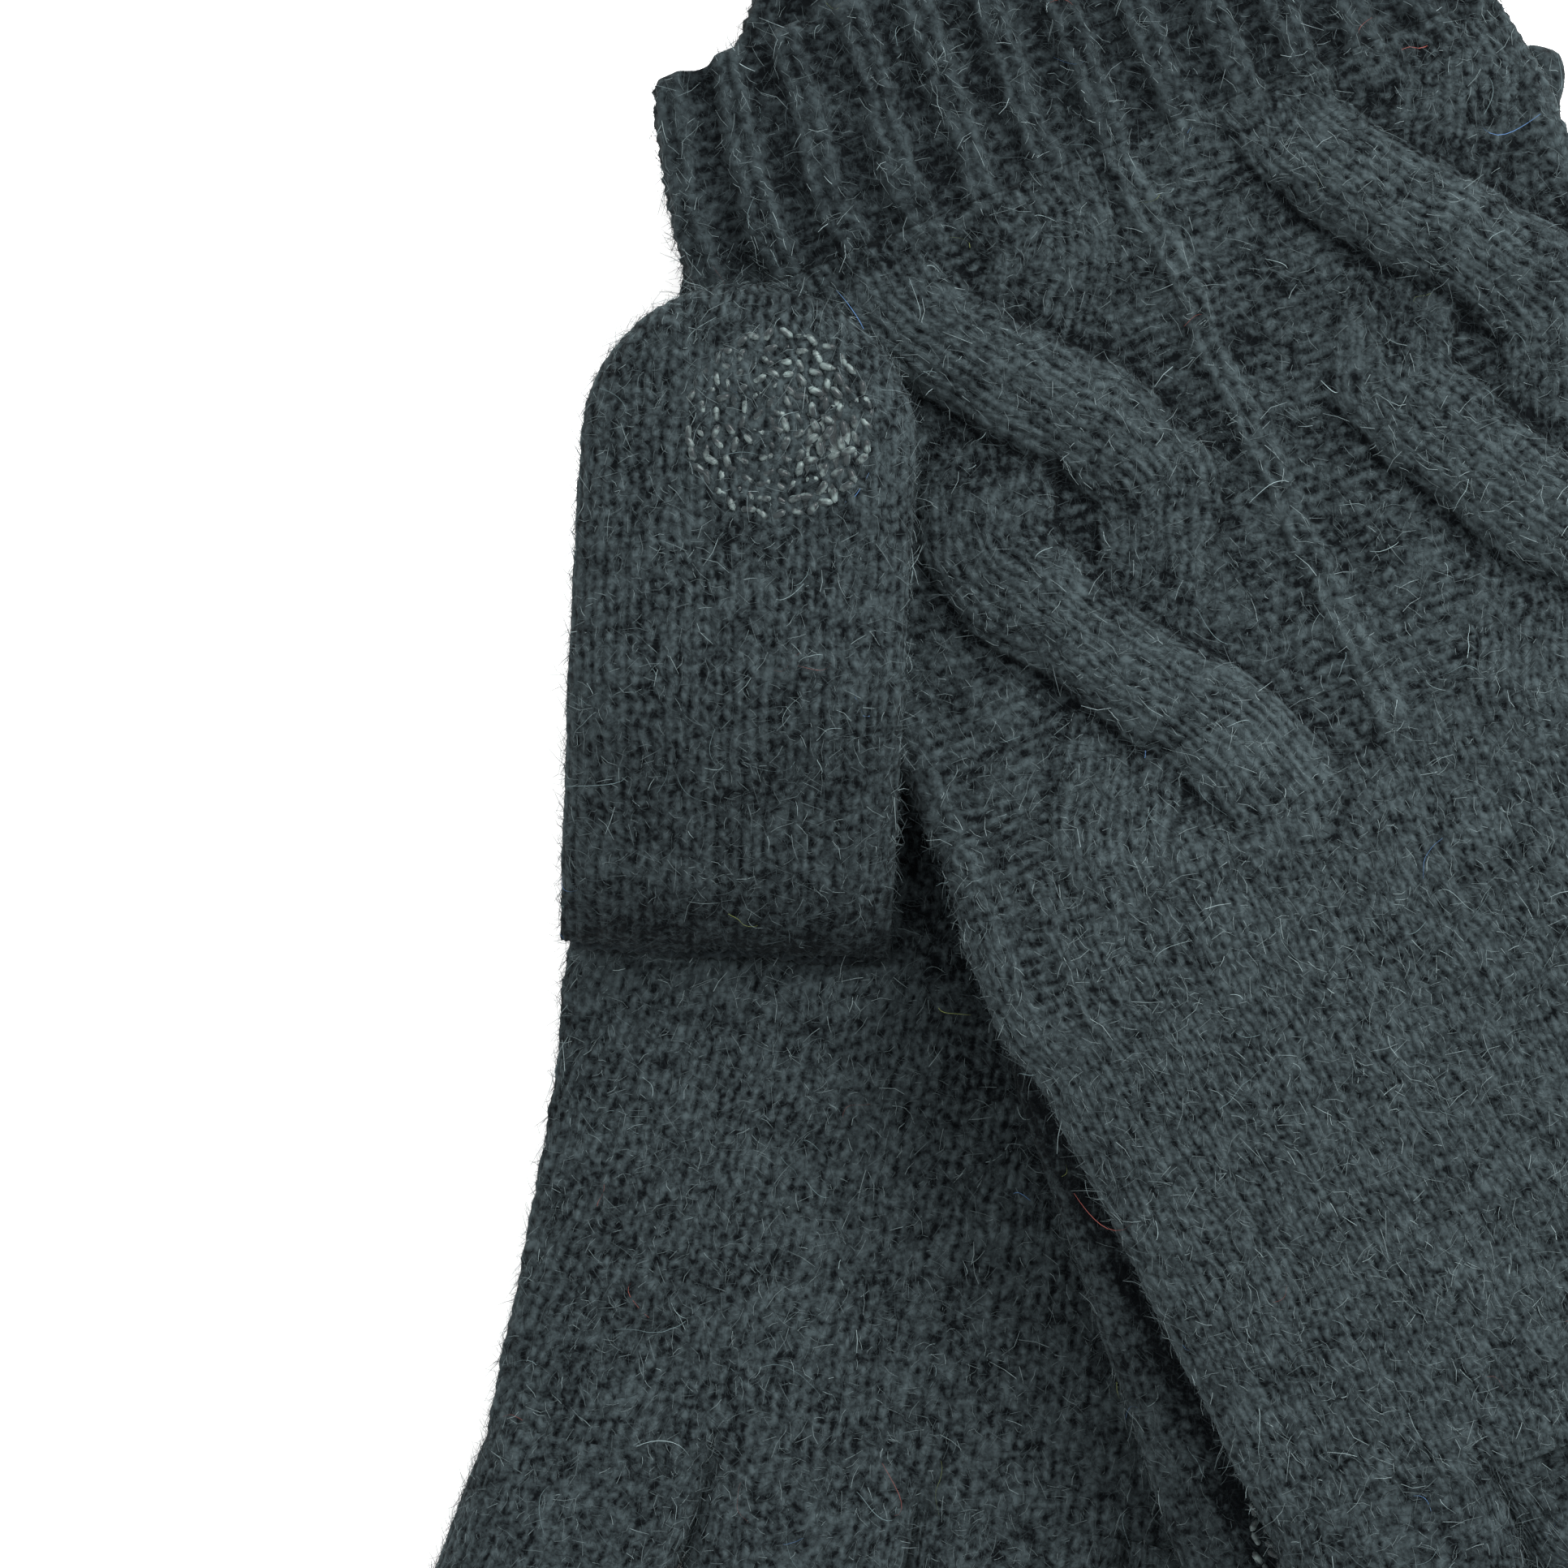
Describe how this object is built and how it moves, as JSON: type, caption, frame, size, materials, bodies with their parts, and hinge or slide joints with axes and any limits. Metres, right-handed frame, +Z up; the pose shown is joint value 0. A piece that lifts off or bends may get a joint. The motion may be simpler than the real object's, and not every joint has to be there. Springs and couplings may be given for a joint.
{
  "type": "touchscreen gloves",
  "caption": "Pair of dark blue-green wool knit touchscreen gloves lying crossed, with cable-knit cuff, ribbed edge and conductive thumb and index caps.",
  "frame": {"origin": "centre of the pair's footprint on the table, in the plane that the right glove rests on", "axes": "+Z up from the table, +Y towards the open ends of the cuffs, +X towards the fingertips of the upper (left) glove"},
  "size_m": [0.1944, 0.2352, 0.0318],
  "materials": {
    "wool_knit": "matte",
    "cable_knit": "matte",
    "rib_knit": "matte",
    "conductive_yarn": "satin",
    "seam_thread": "matte"
  },
  "bodies": {
    "right_glove": {"right_rib_edge": "rib_knit", "right_wrist": "wool_knit", "right_hand": "wool_knit", "right_thumb_seam": "seam_thread"},
    "right_thumb": {"right_thumb": "wool_knit", "right_thumb_cap": "conductive_yarn"},
    "right_index": {"right_index": "wool_knit", "right_index_cap": "conductive_yarn"},
    "right_middle": {"right_middle": "wool_knit"},
    "right_ring": {"right_ring": "wool_knit"},
    "right_little": {"right_little": "wool_knit"},
    "left_glove": {"left_rib_edge": "rib_knit", "left_wrist": "cable_knit", "left_hand": "wool_knit", "left_thumb_seam": "seam_thread"},
    "left_thumb": {"left_thumb": "wool_knit", "left_thumb_cap": "conductive_yarn"},
    "left_index": {"left_index": "wool_knit", "left_index_cap": "conductive_yarn"},
    "left_middle": {"left_middle": "wool_knit"},
    "left_ring": {"left_ring": "wool_knit"},
    "left_little": {"left_little": "wool_knit"}
  },
  "joints": [
    {"name": "right_thumb_flip", "type": "hinge", "parent": "right_glove", "child": "right_thumb", "pos_m": [-0.0521, 0.01019, 0.0154], "axis": [0.9988, -0.0489, 0], "range_deg": [0, 120]},
    {"name": "right_index_curl", "type": "hinge", "parent": "right_glove", "child": "right_index", "pos_m": [-0.06523, -0.03915, 0.0108], "axis": [-0.9836, 0.1805, 0], "range_deg": [0, 80]},
    {"name": "right_middle_curl", "type": "hinge", "parent": "right_glove", "child": "right_middle", "pos_m": [-0.04433, -0.04298, 0.0108], "axis": [-0.9836, 0.1805, 0], "range_deg": [0, 80]},
    {"name": "right_ring_curl", "type": "hinge", "parent": "right_glove", "child": "right_ring", "pos_m": [-0.02466, -0.04659, 0.0108], "axis": [-0.9836, 0.1805, 0], "range_deg": [0, 80]},
    {"name": "right_little_splay", "type": "hinge", "parent": "right_glove", "child": "right_little", "pos_m": [0.00264, -0.0516, 0.0054], "axis": [0, 0, 1], "range_deg": [0, 8]},
    {"name": "left_glove_slide", "type": "slide", "parent": "right_glove", "child": "left_glove", "axis": [1, 0, 0], "range_m": [0, 0.12]},
    {"name": "left_thumb_splay", "type": "hinge", "parent": "left_glove", "child": "left_thumb", "pos_m": [-0.02476, -0.00293, 0.0154], "axis": [0, 0, -1], "range_deg": [0, 8]},
    {"name": "left_index_fold", "type": "hinge", "parent": "left_glove", "child": "left_index", "pos_m": [0.00788, -0.04205, 0.0313], "axis": [-0.9272, -0.3746, 0], "range_deg": [0, 60]},
    {"name": "left_middle_fold", "type": "hinge", "parent": "left_glove", "child": "left_middle", "pos_m": [0.02758, -0.03409, 0.0313], "axis": [-0.9272, -0.3746, 0], "range_deg": [0, 60]},
    {"name": "left_ring_fold", "type": "hinge", "parent": "left_glove", "child": "left_ring", "pos_m": [0.04612, -0.0266, 0.0313], "axis": [-0.9272, -0.3746, 0], "range_deg": [0, 60]},
    {"name": "left_little_fold", "type": "hinge", "parent": "left_glove", "child": "left_little", "pos_m": [0.06374, -0.01948, 0.0313], "axis": [-0.9272, -0.3746, 0], "range_deg": [0, 60]}
  ]
}
